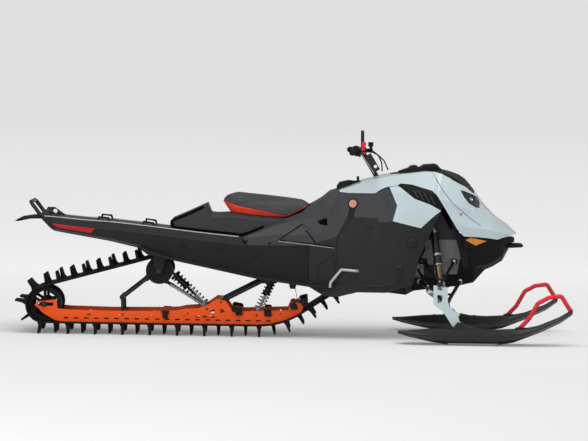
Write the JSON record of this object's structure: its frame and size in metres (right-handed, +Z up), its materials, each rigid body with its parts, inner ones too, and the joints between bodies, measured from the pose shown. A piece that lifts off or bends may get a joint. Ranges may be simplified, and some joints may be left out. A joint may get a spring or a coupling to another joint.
{
  "type": "mountain snowmobile",
  "caption": "Long-track mountain snowmobile with a lugged track on orange slide rails, two skis with red loops, a high handlebar and pale blue-grey bodywork.",
  "frame": {"origin": "middle of the whole length and width, on the ground", "axes": "+X forward, +Y to the rider's left, +Z up"},
  "size_m": [3.332, 1.09, 1.25],
  "materials": {
    "amber_lens": "gloss",
    "black_metal": "satin",
    "black_plastic": "satin",
    "cable_rubber": "matte",
    "dark_metal": "satin",
    "dark_plastic": "matte",
    "engine_alloy": "satin",
    "flap_rubber": "matte",
    "grip_rubber": "matte",
    "ice_metal": "satin",
    "ice_paint": "gloss",
    "lamp_lens": "gloss",
    "light_metal": "satin",
    "orange_metal": "gloss",
    "red_tube": "satin",
    "seat_cover": "matte",
    "ski_plastic": "satin",
    "spring_steel": "gloss",
    "strap_web": "matte",
    "track_rubber": "matte"
  },
  "bodies": {
    "chassis": {"belly_pan": "black_plastic", "cargo_anchors": "black_plastic", "console": "dark_plastic", "engine_block": "engine_alloy", "front_arms": "black_metal", "front_bumper": "black_plastic", "front_frame": "black_metal", "front_shocks": "spring_steel", "gauge": "black_plastic", "headlights": "lamp_lens", "hood": "ice_paint", "limiter_strap": "strap_web", "nose": "ice_paint", "rail_blocks": "black_plastic", "rails": "orange_metal", "rear_bumper": "black_metal", "reflectors": "amber_lens", "running_boards": "dark_metal", "seat": "seat_cover", "seat_base": "dark_plastic", "side_covers": "ice_paint", "side_panels": "dark_plastic", "snow_flap": "flap_rubber", "toe_hooks": "light_metal", "top_cover": "black_plastic", "track": "track_rubber", "track_arms": "dark_metal", "track_shocks": "spring_steel", "track_wheels": "black_plastic", "tunnel": "dark_metal", "vents": "black_plastic"},
    "handlebar": {"control_cables": "cable_rubber", "controls": "black_plastic", "grab_strap": "strap_web", "grips": "grip_rubber", "handlebar": "black_metal", "steering_post": "black_metal"},
    "leg_left": {"leg_left": "ice_metal"},
    "leg_right": {"leg_right": "ice_metal"},
    "tie_rod_left": {"tie_rod_left": "black_metal"},
    "tie_rod_right": {"tie_rod_right": "black_metal"},
    "ski_left": {"ski_left": "ski_plastic", "ski_loop_left": "red_tube"},
    "ski_right": {"ski_loop_right": "red_tube", "ski_right": "ski_plastic"}
  },
  "joints": [
    {"name": "handlebar_steer", "type": "hinge", "parent": "chassis", "child": "handlebar", "pos_m": [0.52, 0, 0.952], "axis": [-0.515, 0, 0.8572], "range_deg": [-35, 35]},
    {"name": "leg_left_steer", "type": "hinge", "parent": "chassis", "child": "leg_left", "pos_m": [0.925, 0.42, 0.238], "axis": [-0.3127, -0.1481, 0.9382], "range_deg": [-30, 30]},
    {"name": "tie_rod_left_swing", "type": "hinge", "parent": "leg_left", "child": "tie_rod_left", "pos_m": [0.816, 0.405, 0.33], "axis": [-0.3127, -0.1481, 0.9382], "range_deg": [-30, 30]},
    {"name": "ski_left_pitch", "type": "hinge", "parent": "leg_left", "child": "ski_left", "pos_m": [1, 0.457, 0.112], "axis": [0, -1, 0], "range_deg": [-10, 18], "stiffness_Nm_per_rad": 60},
    {"name": "leg_right_steer", "type": "hinge", "parent": "chassis", "child": "leg_right", "pos_m": [0.925, -0.42, 0.238], "axis": [-0.3127, 0.1481, 0.9382], "range_deg": [-30, 30]},
    {"name": "tie_rod_right_swing", "type": "hinge", "parent": "leg_right", "child": "tie_rod_right", "pos_m": [0.816, -0.405, 0.33], "axis": [-0.3127, 0.1481, 0.9382], "range_deg": [-30, 30]},
    {"name": "ski_right_pitch", "type": "hinge", "parent": "leg_right", "child": "ski_right", "pos_m": [1, -0.457, 0.112], "axis": [0, -1, 0], "range_deg": [-10, 18], "stiffness_Nm_per_rad": 60}
  ],
  "couplings": [
    {"joint": "leg_left_steer", "follows": "handlebar_steer", "ratio": 0.857},
    {"joint": "tie_rod_left_swing", "follows": "handlebar_steer", "ratio": -0.857},
    {"joint": "leg_right_steer", "follows": "handlebar_steer", "ratio": 0.857},
    {"joint": "tie_rod_right_swing", "follows": "handlebar_steer", "ratio": -0.857}
  ]
}
